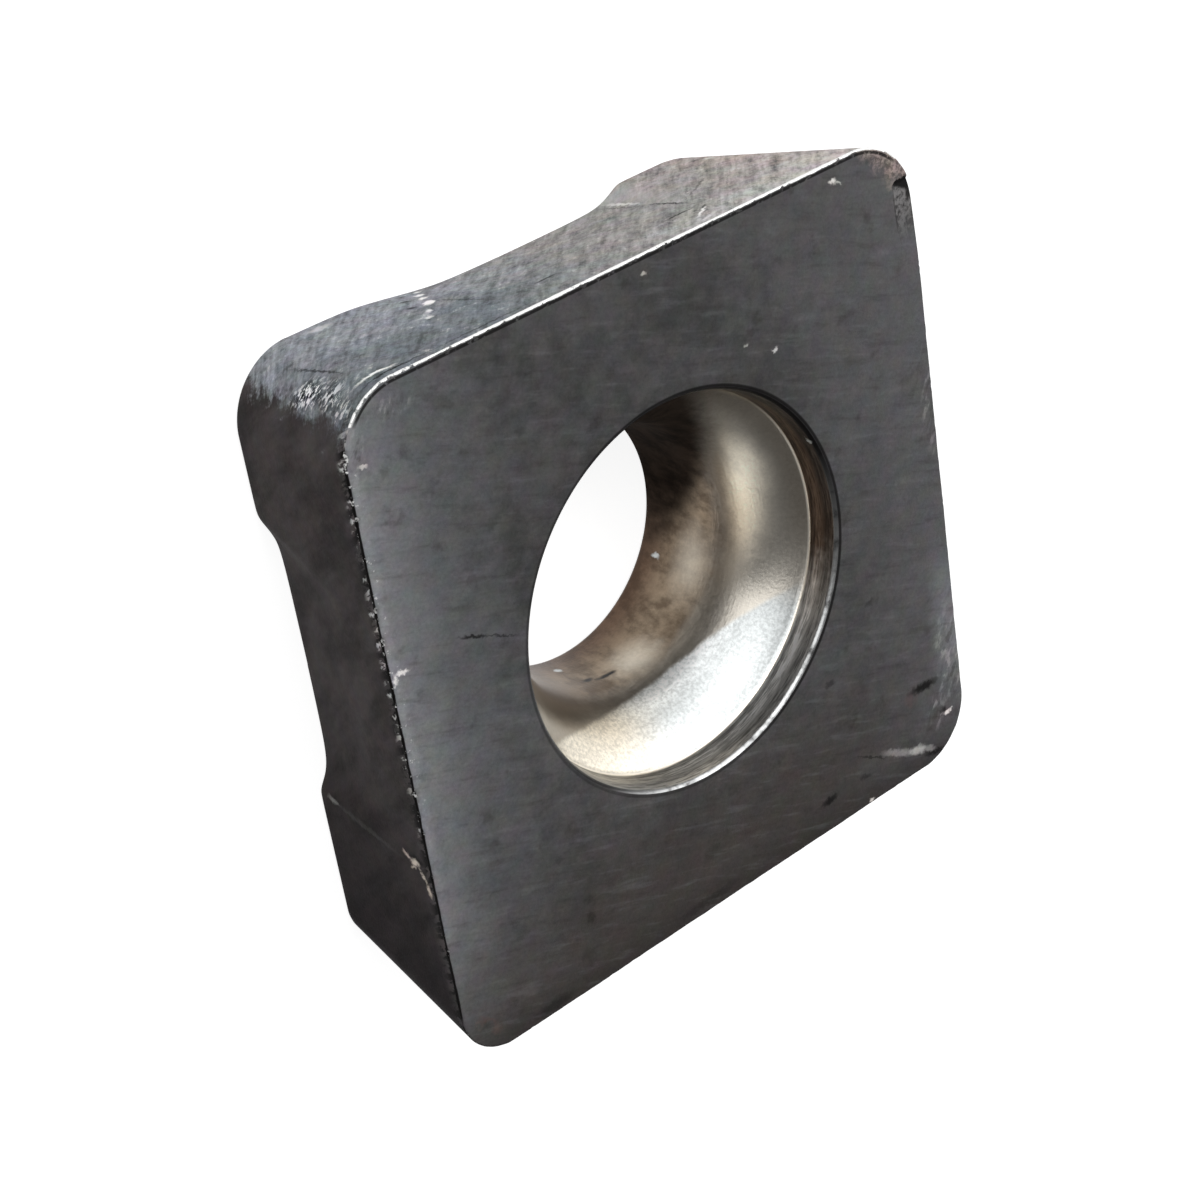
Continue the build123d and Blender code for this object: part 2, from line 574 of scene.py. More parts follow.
class Paint:
    """A colour that is built up in coats."""

    def __init__(self, finish, colour):
        self.finish = finish
        self.colour = colour

    def coat(self, mask, colour):
        """Lay this colour over the last one where the mask is 1."""
        self.colour = self.finish.mix(mask, self.colour, colour)

    def vary(self, amount, low, high):
        self.colour = self.finish.varied(self.colour, amount, low, high)

# %% [markdown]
# ## Tones of the coating
#
# The coating is a hard nitride, nearly black, and use has changed it from place to place. So the finish is
# built up as a painter would: a base tone, the tone of each face, stains and marks, and last the bare
# metal that shows where the coating is gone. A tone is the colour that plain light shows.

# %% Tones of the coating
COAT_DARK = (0.04, 0.039, 0.039, 1)
COAT_LIGHT = (0.06, 0.059, 0.06, 1)
COAT_SOUTH = (0.043, 0.037, 0.034, 1)  # a brown cast on the south half
COAT_EAST = (0.082, 0.081, 0.084, 1)
COAT_SHEEN = (0.088, 0.09, 0.094, 1)  # painted sheen on a band of the rake face behind the west edge, brighter near the edge, also used for polished patches, and brightest right at it
COAT_POLISH_AND_SHEEN = (0.158, 0.16, 0.168, 1)  # brighter near the edge,
COAT_GLARE = (0.24, 0.245, 0.255, 1)  # and brightest right at it
FLANK_BLUE = (0.125, 0.138, 0.15, 1)
FLANK_STEEL = (0.225, 0.235, 0.255, 1)
FLANK_GREY = (0.215, 0.209, 0.203, 1)
FLANK_PINK = (0.3, 0.262, 0.248, 1)
FLANK_PALE = (0.46, 0.45, 0.435, 1)
FLANK_SHADE = (0.06, 0.063, 0.068, 1)
WEST_UPPER = (0.046, 0.04, 0.04, 1)
WEST_SHADED_LOWER = (0.015, 0.012, 0.013, 1)
WEST_EDGE = (0.06, 0.055, 0.056, 1)
HEAT_TINT = (0.275, 0.225, 0.205, 1)
RUST = (0.085, 0.052, 0.048, 1)
GRIME = (0.02, 0.017, 0.016, 1)
CREAM = (0.62, 0.53, 0.46, 1)
RAKE_SPECK = (0.66, 0.65, 0.62, 1)
FLANK_SPECK = (0.72, 0.71, 0.7, 1)
WORN_THIN = grey(0.32)
NICK = grey(0.55)
SCUFF = grey(0.74)
BED_DARK = (0.022, 0.021, 0.021, 1)  # the bed of the flake
BED_LIGHT = (0.15, 0.145, 0.145, 1)
BARE_CARBIDE = (0.7, 0.7, 0.69, 1)
BLACK = (0.004, 0.0035, 0.0035, 1)
print("coating from", COAT_DARK[:3], "to", COAT_GLARE[:3])

# %% [markdown]
# ## Marks of use on the rake face
#
# A used face carries scratches, smudges and specks. They are few and each has its place, so they are
# written as lists. A mark needs a third half size too, its height, which keeps it off the flank below.

# %% Marks of use on the rake face
mark_height = 0.25

def rake_marks(rows):
    """Marks on the rake face. A row is x, y, half length, half width, degrees from +X, and strength."""
    return [
        ((x, y, thickness), (length, width, mark_height), (0, 0, turn), strength)
        for x, y, length, width, turn, strength in rows
    ]

dark_on_rake = rake_marks([
    (-4.62, 1.42, 0.44, 0.055, -22, 0.85),  # a scratch towards the hole, in two strokes
    (-4.1, 1.19, 0.5, 0.035, -27, 0.6),
    (2.59, -5.71, 0.3, 0.11, 5, 0.9),
    (-3.3, -4.95, 0.14, 0.22, 10, 0.45),
    (-3.3, -4.55, 0.17, 0.13, 0, 0.3),
    (-3.75, -3.47, 0.14, 0.12, 0, 0.35),
    (2.96, -3.34, 0.18, 0.1, 0, 0.5),
    (4.15, -2.2, 0.17, 0.08, 10, 0.35),
    (-1.5, 3.88, 0.24, 0.17, 20, 0.35),
    (-2.99, 4.46, 0.18, 0.12, 0, 0.25),
    (5.32, -4.6, 0.55, 0.14, -4, 0.95),
    (3.85, -5.42, 0.72, 0.035, -28, 0.6),
    (5.45, -6.13, 0.38, 0.11, -12, 0.9),
    (5.78, -5.36, 0.11, 0.08, 0, 0.8),
    (3.56, -5.7, 0.22, 0.07, -10, 0.5),
    (-4.4, -6.18, 0.7, 0.16, 0, 0.5),
    (-0.6, -6.12, 1, 0.14, 2, 0.4),
])
light_on_rake = rake_marks([
    (4.44, 6, 0.11, 0.075, 0, 1),
    (4.55, 5.93, 0.13, 0.04, -20, 0.5),
    (2.65, 3.56, 0.09, 0.06, 0, 0.7),
    (2, 3.9, 0.08, 0.05, 0, 0.35),
    (0.02, 6, 0.08, 0.055, 0, 0.45),
    (4.5, -5.67, 0.65, 0.12, -26, 0.22),  # a broad streak by the south-east corner
    (4.98, -5.86, 0.4, 0.13, -16, 0.45),
    (5.28, -5.98, 0.32, 0.1, -30, 0.2),
    (5.88, -5.46, 0.12, 0.07, -20, 1),
    (5.98, -5.44, 0.07, 0.055, 0, 0.8),
    (3.65, -6.28, 0.09, 0.06, 0, 0.8),
    (-6.1, 1.5, 0.2, 0.06, -12, 1),  # a hook-shaped chip on the west edge
    (-6.25, 1.42, 0.07, 0.14, 0, 0.9),
    (-6.03, 5.14, 0.12, 0.05, -20, 0.6),
    (6.04, 5.18, 0.08, 0.14, 0, 0.25),
])
rust_on_rake = rake_marks([
    (-5.88, -5.72, 0.5, 0.2, -45, 0.8),
    (4.95, -4.75, 0.28, 0.3, 0, 0.4),
])
speckled_on_rake = rake_marks([
    (-5.4, 5.88, 0.75, 0.26, 0, 0.8),  # edges where the coating is worn thin
    (-6.1, 5.4, 0.22, 0.7, -8, 0.9),
    (6.1, -4.3, 0.62, 1.45, 0, 1),
    (6.2, 1, 0.24, 1.4, 0, 0.7),
    (5.6, -5.3, 0.35, 0.5, 0, 0.8),
])
print(len(dark_on_rake), "dark and", len(light_on_rake), "light marks on the rake face")

# %% [markdown]
# ## The rake face
#
# Behind the west edge the face is painted paler as a painted sheen, most of all right at the edge, and a
# part of the east edge is rubbed paler. The south half has a brown cast, and the corner by the flake has a
# tint of heat. Fine mottle over all of it keeps it from looking like paint.

# %% The rake face
def rake_colour(finish, place, ragged, clouds, mottle, grain):
    x, y, _ = finish.axes(place)
    angle, radius = finish.polar(x, y)
    shade = Paint(finish, COAT_DARK)
    shade.coat((0.6 * clouds + 0.4 * mottle).rise(0.36, 0.64), COAT_LIGHT)
    shade.coat((x + 0.15 * y + 1.6 * (clouds - 0.5)).rise(1.5, 6.5, 0.95), COAT_EAST)
    shade.coat((-y + 1.5 * (clouds - 0.5)).rise(2.6, 5.4, 0.85) * x.rise(7, 1.5), COAT_SOUTH)
    wander = 1.2 * (clouds - 0.5) + 0.5 * (mottle - 0.5)
    south_fade = y.rise(-7.6, 0.1)
    # Painted sheen behind the west edge, brighter towards the edge and brightest right at it.
    shade.coat((-x + wander).rise(3, 5.3) * south_fade, COAT_SHEEN)
    shade.coat((-x + 0.6 * wander).rise(4.9, 6.5) * south_fade, COAT_POLISH_AND_SHEEN)
    shade.coat((-x + 0.3 * (mottle - 0.5)).rise(6.05, 6.32, 0.5) * y.rise(-6.5, 1), COAT_GLARE)
    shade.coat((-y + 0.5 * (mottle - 0.5)).rise(5.5, 6.3, 0.55), GRIME)
    shade.coat(x.rise(5.5, 6.2, 0.78) * y.band(-3.6, 0.4, 1.6), COAT_POLISH_AND_SHEEN)

    heated = (x + y + 0.9 * (mottle - 0.5)).rise(11.15, 11.6)
    heat_mottle = (0.5 * mottle + 0.5 * grain).rise(0.56, 0.4, 0.7)
    shade.coat(heated, finish.mix(heat_mottle, HEAT_TINT, COAT_SOUTH))
    shade.coat(finish.marks(ragged, rust_on_rake) * mottle.rise(0.4, 0.58), RUST)

    smudge = finish.noise(place, 1.5, 4, 0.6).rise(0.57, 0.72, 0.4)
    shade.coat(smudge, GRIME)
    swept = finish.noise(finish.drawn_out(place, (0, 0, -20), (2.2, 0.35, 1)), 2, 3, 0.6)
    shade.coat(swept.rise(0.52, 0.74, 0.16), COAT_POLISH_AND_SHEEN)
    shade.coat(swept.rise(0.48, 0.28, 0.26), GRIME)
    speckle = finish.noise(finish.drawn_out(place, (0, 0, 62), (1.6, 0.7, 1)), 4, 4, 0.65)
    thin = finish.marks(place, speckled_on_rake, 0.8)
    shade.coat(thin * speckle.rise(0.5, 0.64, 0.55), WORN_THIN)
    shade.coat(thin * speckle.rise(0.47, 0.36, 0.45), GRIME)
    # Painted shade along the edge break round the mouth, stronger on one side.
    rim_shade = radius.band(mouth_radius + 0.02, 0.012, 0.035)
    rim_shade = rim_shade * (0.55 + 0.45 * angle.band(20, 75, 40))
    shade.coat(rim_shade * 0.9, BLACK)
    shade.coat(finish.marks(ragged, dark_on_rake), BLACK)
    shade.coat(finish.marks(ragged, light_on_rake), RAKE_SPECK)
    shade.vary(0.6 * grain + 0.4 * mottle, 0.55, 1.45)
    return shade.colour

# %% [markdown]
# ## The flanks
#
# The north flank is pale, blue at one end and brown at the other: partly real scuffs and partly painted
# light, as light falls on that side. Its recess has a step line of painted shade at each end, with painted
# light on the step's face. The west flank is brown-black, painted darker towards its south end as painted
# shade, with one cream flake and a faint line of painted light by its recess. Marks here belong to one flank
# and have a depth under the cutting edge.

# %% The flanks
flank_middle = 6.1  # how far the flanks are from the axis, halfway down
mark_reach = 1  # how deep into a flank a mark reaches

def north_marks(rows):
    """Marks on the north flank. A row is x, depth, half length, half depth, turn down, strength."""
    return [
        ((x, flank_middle, thickness - depth), (length, mark_reach, height), (0, turn, 0), strength)
        for x, depth, length, height, turn, strength in rows
    ]

def west_marks(rows):
    """Marks on the west flank, by y in the same way."""
    return [
        ((-flank_middle, y, thickness - depth), (mark_reach, length, height), (-turn, 0, 0), strength)
        for y, depth, length, height, turn, strength in rows
    ]

light_on_flanks = north_marks([
    (-5.2, 0.43, 0.52, 0.07, -9, 1),  # a painted highlight: a second bright line beside the corner
    (1.95, 0.6, 0.45, 0.05, 34, 0.85),
    (1.75, 0.22, 0.34, 0.075, 20, 0.5),
    (-3.15, 1.7, 0.14, 0.1, 45, 0.7),  # specks in a row on the worn ramp
    (-2.92, 1.98, 0.14, 0.09, 50, 0.8),
    (-2.6, 2.4, 0.2, 0.13, 50, 1.5),
    (-2.44, 2.78, 0.16, 0.1, 50, 1.1),
    (-2.26, 3.12, 0.2, 0.12, 55, 1.5),
    (-2.02, 3.55, 0.18, 0.1, 55, 1),
    (-4.05, 3.55, 0.36, 0.18, 0, 0.4),
    (2.36, 3.2, 0.065, 0.85, -4, 0.65),  # the face of the step, painted light
    (4.35, 3, 0.12, 0.14, 40, 0.5),
]) + west_marks([
    (-2.42, 3.4, 0.07, 0.3, 0, 0.25),
    (-2.43, 2.4, 0.09, 1.7, 0, 0.03),  # the step line, a faint line of painted light
])
dark_on_flanks = north_marks([
    (-5.3, 1.9, 0.045, 1.1, 0, 0.7),  # where the flat meets the round of the corner
    (-1.22, 0.98, 0.36, 0.045, 2, 0.8),
    (1.75, 0.98, 0.55, 0.045, 0, 0.8),
    (-5, 0.24, 0.95, 0.055, 0, 0.9),
    (-3.2, 0.22, 1.5, 0.05, 0, 0.6),
    # painted shade: dark lines along the steps at the ends of the recess
    (-2.38, 1.9, 0.04, 1.1, 12, 0.45),
    (2.26, 1.8, 0.04, 0.8, 0, 0.85),
    (2.22, 3.2, 0.032, 0.95, -2, 0.6),
    (3, 1.85, 0.8, 0.04, 32, 0.45),
    (2.18, 0.78, 0.16, 0.05, 34, 0.8),
    (-2.9, 2.5, 0.1, 0.13, 40, 0.8),  # shade beside the specks on the ramp
    (-2.66, 2.98, 0.09, 0.16, 45, 0.8),
    (-2.38, 3.5, 0.1, 0.16, 50, 0.7),
    (2.65, 1.75, 0.8, 0.03, 48, 0.4),  # thin slanted scratches
    (0.05, 2.1, 1.1, 0.03, 50, 0.3),
    (3.3, 1.4, 0.9, 0.028, 46, 0.3),
]) + west_marks([
    (-2.22, 0.45, 0.12, 0.28, 0, 0.8),
])
cream_flake = west_marks([
    (-2.72, 0.22, 0.2, 0.09, 10, 0.9),
    (-2.48, 0.34, 0.22, 0.09, 40, 1.2),
    (-2.32, 0.55, 0.11, 0.22, 15, 1.1),
    (-2.28, 0.8, 0.07, 0.2, -10, 0.8),
    (-2.44, 0.62, 0.05, 0.18, 25, 0.7),
])
corner_scuff = west_marks([
    (5.86, 1.65, 0.3, 0.75, 20, 1),  # a patch of scuffs round the north-west corner
    (6, 1, 0.28, 0.45, 0, 0.7),
    (5.95, 0.45, 0.22, 0.4, 0, 0.5),
])
edge_strokes = west_marks([
    (5.18, 0.14, 0.045, 0.17, 25, 1),  # fresh slanted nicks under the west edge
    (4.66, 0.1, 0.04, 0.12, 25, 0.8),
    (4.28, 0.15, 0.05, 0.18, 25, 1),
    (3.25, 0.14, 0.04, 0.16, 30, 0.6),
    (2.62, 0.16, 0.05, 0.18, 30, 0.9),
    (2.06, 0.15, 0.055, 0.17, 30, 1),
    (1.62, 0.22, 0.035, 0.12, 30, 0.6),
    (1.12, 0.14, 0.06, 0.15, 25, 1),
    (0.72, 0.12, 0.045, 0.14, 25, 0.8),
    (-1.45, 0.08, 0.045, 0.12, 25, 0.7),
])
print(len(light_on_flanks + dark_on_flanks), "light and dark marks on the flanks")

def flank_colour(finish, place, ragged, clouds, mottle, grain):
    x, y, _ = finish.axes(place)
    below = finish.measure("below_edge")
    ramp = finish.measure("ramp")
    dragged = finish.noise(finish.drawn_out(place, (0, 48, 0), (1.8, 1, 0.28)), 2.2, 4, 0.65)
    slashed = finish.noise(finish.drawn_out(place, (60, 0, 0), (1, 1.4, 0.35)), 2.2, 3, 0.6)
    slow = finish.noise(finish.drawn_out(place, (50, 0, 0), (1, 3, 0.9)), 1.6, 3, 0.5)
    north_facing = (y - abs(x)).rise(-1, 0)
    dragged = dragged * north_facing + slashed * (1 - north_facing)
    texture = 0.3 * finish.noise(place, 6, 3, 0.65) + 0.2 * grain + 0.5 * dragged
    wander = 2.6 * (mottle - 0.5) + 2 * (clouds - 0.5)
    ends = x + wander

    # The north flank's pale tones: partly real scuffs, partly painted light on the side where light falls.
    scuffed_and_lit = Paint(finish, FLANK_BLUE)
    scuffed_and_lit.coat(ends.rise(-3.2, 0.8), FLANK_GREY)
    low_steel = (below + 0.6 * wander).rise(0.9, 2.8, 0.75) * ends.rise(0.5, -2.5)
    scuffed_and_lit.coat(low_steel, FLANK_STEEL)
    scuffed_and_lit.coat(ends.rise(2.2, 5), FLANK_PINK)
    scuffed_and_lit.coat(below.rise(1.3, 0.1, 0.4) * ends.rise(-0.5, 2), FLANK_PALE)
    scuffed_and_lit.vary(texture.rise(0.34, 0.66), 0.5, 1.5)
    scuffed_and_lit.coat((0.3 * mottle + 0.7 * texture).rise(0.55, 0.66, 0.8), FLANK_PALE)
    scuffed_and_lit.coat((0.3 * mottle + 0.7 * texture).rise(0.45, 0.34, 0.8), FLANK_SHADE)
    # Painted light on the ramp at the east end of the recess.
    scuffed_and_lit.coat(ramp * x.rise(0.5, 1.5, 0.4), FLANK_PALE)
    # The west flank: brown-black, painted darker towards its south end as painted shade.
    skin_and_shade = Paint(finish, WEST_UPPER)
    skin_and_shade.coat((y + 3 * (clouds - 0.5)).rise(0.5, -5.5), WEST_SHADED_LOWER)
    skin_and_shade.coat(below.rise(0.45, 0.05, 0.6), WEST_EDGE)
    skin_and_shade.vary(0.65 * slow.rise(0.34, 0.66) + 0.35 * texture.rise(0.34, 0.66), 0.55, 1.45)
    skin_and_shade.coat(slashed.rise(0.52, 0.44) * below.rise(0.42, 0.06), BLACK)
    skin_and_shade.coat(slashed.rise(0.585, 0.64) * below.rise(0.34, 0.05) * y.rise(-2.6, 0.2), FLANK_PALE)

    corner_turn = y - abs(x) - 0.1 * below + 1.4 * (mottle - 0.5) + 1.8 * (texture - 0.5)
    shade = Paint(finish, COAT_DARK)
    shade.coat(clouds.rise(0.25, 0.75), COAT_LIGHT)
    shade.vary(texture, 0.4, 1.6)
    shade.coat((-x - abs(y)).rise(-0.9, 0.6), skin_and_shade.colour)
    shade.coat(corner_turn.rise(-0.68, -0.08), scuffed_and_lit.colour)
    scuffs = finish.marks(place, corner_scuff, 0.6)
    torn = finish.noise(finish.mapped(place, scale=(1, 1, 1.8)), 7, 2, 0.7)
    shade.coat(scuffs * torn.rise(0.48, 0.42), BLACK)
    shade.coat(scuffs * torn.rise(0.525, 0.575), SCUFF)
    shade.coat(finish.marks(ragged, dark_on_flanks), BLACK)
    shade.coat(finish.marks(ragged, light_on_flanks), FLANK_SPECK)
    shade.coat(finish.marks(ragged, edge_strokes), NICK)
    shade.coat(finish.marks(ragged, cream_flake) * texture.rise(0.38, 0.52), CREAM)
    return shade.colour

# %% [markdown]
# ## Bare carbide
#
# Where the coating has worn through, hard grey carbide shines: a thin unbroken line along the north edge,
# with a burnt line behind it. The west edge is black and chipped, with bright crumbs. The flake's bed is
# dull, and dark at its sharp end. The measures on the mesh say where each of these is.

# %% Bare carbide
def wear_colour(finish, place, mottle, grain, colour):
    """The colour with the worn places laid over it, and a mask of the bare ones."""
    x, y, _ = finish.axes(place)
    edge = finish.measure("from_edge")
    below = finish.measure("below_edge")
    chipped = finish.measure("chip_depth")
    flaked = finish.measure("flake_drop")
    crumble = finish.noise(place, 9, 2, 0.7)

    shade = Paint(finish, colour)
    flake = flaked.rise(0.0015, 0.004)
    bed = finish.mix((0.6 * crumble + 0.4 * mottle).rise(0.42, 0.6), BED_DARK, BED_LIGHT)
    shade.coat(flake * y.rise(4.1, 5.1, 0.95), bed)
    flake_rims = flaked.rise(0.016, 0.007) * y.rise(4.5, 5, 0.7) * crumble.rise(0.35, 0.5)
    flake_rims = flake * flake_rims.most((x + 0.08 * y).rise(6.6, 6.68) * y.rise(4.9, 5.2))
    sharp_end = flake * (y + 0.5 * x).rise(8.28, 8.36)
    shade.coat((flake_rims * 0.85).most(sharp_end), BLACK)

    north_edge = y.rise(5.75, 5.95)
    line_reach = 0.016 * north_edge + 0.08 * (crumble - 0.5) + 0.05 * (mottle - 0.5) - 0.004
    line_reach = line_reach + 0.008 * x.rise(-5, -2)
    worn = (line_reach - edge).rise(-0.004, 0.008) * y.rise(5.5, 5.8)
    burnt = north_edge * edge.band(0.085, 0.018, 0.022) * below.rise(0.02, 0)
    shade.coat(burnt * crumble.rise(0.3, 0.45, 0.9), BLACK)
    west_edge = (-x).rise(6.1, 6.2) * abs(y).rise(5.5, 5.2)
    chewed = (edge + 0.25 * (crumble - 0.5)).rise(0.085, 0.045) * below.rise(-0.001, 0.006)
    shade.coat(west_edge * chewed, BLACK)
    crumbs = west_edge * edge.rise(0.3, 0.02) * (0.6 * crumble + 0.4 * grain).rise(0.6, 0.66)
    crumbs = crumbs * y.rise(-2.2, 0.6)
    fresh = chipped.rise(0.008, 0.018) * (0.6 * crumble + 0.4 * grain).rise(0.5, 0.6)
    bare = worn.most(fresh).most(crumbs * 0.8)
    shade.coat(bare, BARE_CARBIDE)
    return shade.colour, bare

# %% [markdown]
# ## The whole coating
#
# The face and the flanks have a material each, so that each graph stays small. They share their noise and
# their bare spots, and meet unseen in the middle of the rounded edge. Only bare spots are metallic. A bump
# from the same noise gives the sintered surface its fine roughness.

# %% The whole coating
stain_share = 0.17  # how much stray colour tints the grey
bare_shine = 0.6  # how metallic bare carbide looks

def coating(name, face_colour, shine):
    """The finish of the rake face or of the flanks, with the worn places laid over it."""
    finish = Finish(name)
    place = finish.position()
    ragged = finish.shaken(place, 11, 0.04)
    clouds = finish.noise(place, 0.55, 4)
    mottle = finish.noise(place, 2.6, 5, 0.62)
    grain = finish.noise(place, 17, 3, 0.6)
    stain = finish.noise(place, 2.2, 5, 0.65, out="Color")
    colour = face_colour(finish, place, ragged, clouds, mottle, grain)
    stained = finish.mix(stain_share, colour, stain, "OVERLAY")
    colour, bare = wear_colour(finish, place, mottle, grain, stained)
    return finish.surface(
        Base_Color=colour,
        Metallic=bare * bare_shine,
        Roughness=0.6 + 0.1 * (mottle - 0.5) - 0.25 * bare,
        Normal=finish.bump(0.5 * grain + 0.5 * mottle, 0.4, 0.03),
        Specular_IOR_Level=shine,
    )

# %% [markdown]
# ## Bare metal in the hole
#
# The coating never reached the hole, so the flare is bare carbide. On one side it carries a painted
# highlight, from the lip down to a clear line, bright and grainy, with cream painted highlights below it.
# The rest is duller metal, and the bore below carries a brown film, darkened nearly to black on one side
# with painted shade. The lip is dull, with a painted highlight along the crease at its foot.
#
# Places in the hole are easiest to say as an angle round it and a height, so the marks here use those two.

# %% Bare metal in the hole
METAL_BRIGHT = (0.48, 0.5, 0.5, 1)
METAL_HIGHLIGHT = (0.93, 0.96, 0.96, 1)
METAL_CREAM_HIGHLIGHT = (0.7, 0.64, 0.54, 1)
METAL_GLINT = (1, 0.93, 0.8, 1)
METAL_DULL = (0.48, 0.45, 0.4, 1)
FILM_BROWN = (0.205, 0.158, 0.112, 1)
FILM_LOW = (0.085, 0.052, 0.034, 1)
BORE_SHADE_TONE = (0.03, 0.021, 0.016, 1)
LIP_GREY = (0.84, 0.83, 0.81, 1)
LIP_LEFT = (0.4, 0.385, 0.36, 1)
LIP_UPPER = (0.26, 0.255, 0.25, 1)
LIP_BROWN = (0.15, 0.11, 0.085, 1)
LIP_DARK = (0.02, 0.018, 0.018, 1)
CREASE_GLINT = (0.96, 0.9, 0.8, 1)
BEVEL = (0.42, 0.425, 0.425, 1)

def hole_marks(rows):
    """Marks in the hole. A row is degrees round it, millimetres up, half sizes of both, and strength."""
    return [
        ((angle, z, 0), (width, height, 1), (0, 0, 0), strength)
        for angle, z, width, height, strength in rows
    ]

# Painted highlights: cream spots on the flare.
cream_highlights_in_hole = hole_marks([
    (-29, 1.46, 24, 0.7, 0.45),
    (-78, 1.46, 18, 0.75, 0.65),
    (-58, 2.06, 40, 0.3, 0.55),
])
glint_in_hole = hole_marks([
    (3, 2.5, 30, 0.6, 1.5),
    (18, 2.76, 26, 0.42, 1.2),
])
white_in_hole = hole_marks([
    (-104, 0.56, 2.8, 0.11, 1),
    (-32, 0.49, 2, 0.14, 1),
    (24.5, 3.86, 1.8, 0.07, 1),
])
black_in_hole = hole_marks([
    (-100, 1.26, 6, 0.11, 1),
    (-93, 1.36, 5, 0.09, 1),
    (62, 3.72, 26, 0.3, 0.9),
])

def hole_metal():
    """The finish of the hole, from the film in the bore up to the bevel at the mouth."""
    finish = Finish("bare_hole")
    place = finish.position()
    x, y, z = finish.axes(place)
    angle, radius = finish.polar(x, y)
    mottle = finish.noise(place, 2.5, 4, 0.6)
    grain = finish.noise(place, 15, 3, 0.65)
    brushed = finish.noise(finish.mapped(place, scale=(0.25, 0.25, 3)), 10, 3, 0.65)
    ragged = 0.3 * (mottle - 0.5) + 0.04 * (grain - 0.5)
    height = z + ragged
    unrolled = {"X": angle + 14 * (mottle - 0.5), "Y": z + 0.25 * ragged}
    unrolled = finish.node("ShaderNodeCombineXYZ", unrolled)

    blotch = finish.noise(finish.drawn_out(place, (0, 0, 0), (1, 1, 1.6)), 2.4, 5, 0.65)
    film = Paint(finish, FILM_LOW)
    film.coat(height.rise(0.15, 1.1), FILM_BROWN)
    film.vary(blotch.rise(0.36, 0.64), 0.72, 1.28)
    film.coat(blotch.rise(0.52, 0.32, 0.4), FILM_LOW)
    # The angle jumps from 180 to -180 degrees, so what lies beside the jump fades out before it.
    off_jump_low = angle.rise(-180, -150)
    off_jump_high = angle.rise(180, 135)
    shade = Paint(finish, METAL_DULL)
    shade.coat(height.rise(2.35, 1.65), film.colour)
    shade.coat(angle.rise(-112, -142, 0.6) * off_jump_low, FILM_BROWN)
    shade.coat(angle.rise(-98, -135, 0.55) * off_jump_low * z.rise(2.4, 1.7), FILM_LOW)
    shade.coat(z.rise(2.95, 3.3, 0.45) * angle.rise(-25, 0) * off_jump_high, FILM_BROWN)
    shade.coat(finish.marks(unrolled, cream_highlights_in_hole, 1), METAL_CREAM_HIGHLIGHT)
    shade.coat(finish.marks(unrolled, glint_in_hole, 1), METAL_GLINT)
    # Painted shade: one side of the bore darkened nearly to black below a line that climbs round it, less
    # metallic and rougher there.
    bore_shade_line = 1.3 + 0.03 * angle
    bore_shade = (bore_shade_line - height).rise(-0.45, 0.35) * (angle + 26 * (mottle - 0.5)).rise(-42, 2)
    bore_shade = bore_shade * off_jump_high
    shade.coat(bore_shade * 0.98, finish.varied(BORE_SHADE_TONE, blotch.rise(0.3, 0.7), 0.4, 1.5))
    shade.vary(0.7 * grain + 0.3 * mottle, 0.7, 1.3)

    # The painted highlight on one side: above a line that sags in its middle, whiter lower down, cream at
    # its left end.
    off_left = (-82 - angle).most(0)
    off_right = (angle + 78).most(0)
    highlight_edge = 2.14 + 0.00026 * off_left * off_left + 0.00042 * off_right * off_right
    painted_highlight = (z - highlight_edge + 0.35 * ragged).rise(-0.05, 0.07)
    painted_highlight = painted_highlight * z.rise(lip_floor_height + 0.02, lip_floor_height)
    painted_highlight = painted_highlight * angle.rise(-158, -138) * (angle + 6 * (grain - 0.5)).rise(-20, -36)
    highlight_colour = Paint(finish, METAL_BRIGHT)
    highlight_colour.coat(z.rise(2.75, 2.35), METAL_HIGHLIGHT)
    highlight_colour.coat(angle.rise(-88, -118, 0.9), METAL_CREAM_HIGHLIGHT)
    highlight_colour.vary(grain.rise(0.3, 0.7), 0.8, 1.2)
    shade.coat(painted_highlight, highlight_colour.colour)

    # The lip: dull and scored, darker at its top, and brown to black on one side.
    lip_side = (angle + 25 * (mottle - 0.5)).rise(-42, -8) * off_jump_high
    lip = Paint(finish, LIP_GREY)
    lip.coat(angle.rise(-84, -112) * off_jump_low, LIP_LEFT)
    lip.coat(lip_side, LIP_BROWN)
    upper = (z + 0.25 * (brushed - 0.5)).rise(3.6, 3.74, 0.8)
    lip.coat(upper, finish.mix(lip_side, LIP_UPPER, LIP_DARK))
    lip.vary(brushed.rise(0.32, 0.68), 0.5, 1.5)
    lip.coat(z.band(lip_floor_height + 0.09, 0.02, 0.04) * 0.45, LIP_DARK)
    bevel_lit = angle.rise(-135, -100) * angle.rise(26, -26)
    on_bevel = z.rise(lip_top_height - 0.02, lip_top_height)
    lip.coat(on_bevel, finish.mix(bevel_lit * mottle.rise(0.25, 0.55), LIP_DARK, BEVEL))
    shade.coat(z.rise(lip_floor_height + 0.01, lip_floor_height + 0.03), lip.colour)
    # A painted highlight along the crease at the foot of the lip.
    crease_glint = z.band(lip_floor_height + 0.005, 0.014, 0.014) * angle.rise(48, 20) * off_jump_low
    shade.coat(crease_glint * 0.9, CREASE_GLINT)
    shade.coat(finish.marks(unrolled, black_in_hole), LIP_DARK)
    shade.coat(finish.marks(unrolled, white_in_hole), METAL_BRIGHT)

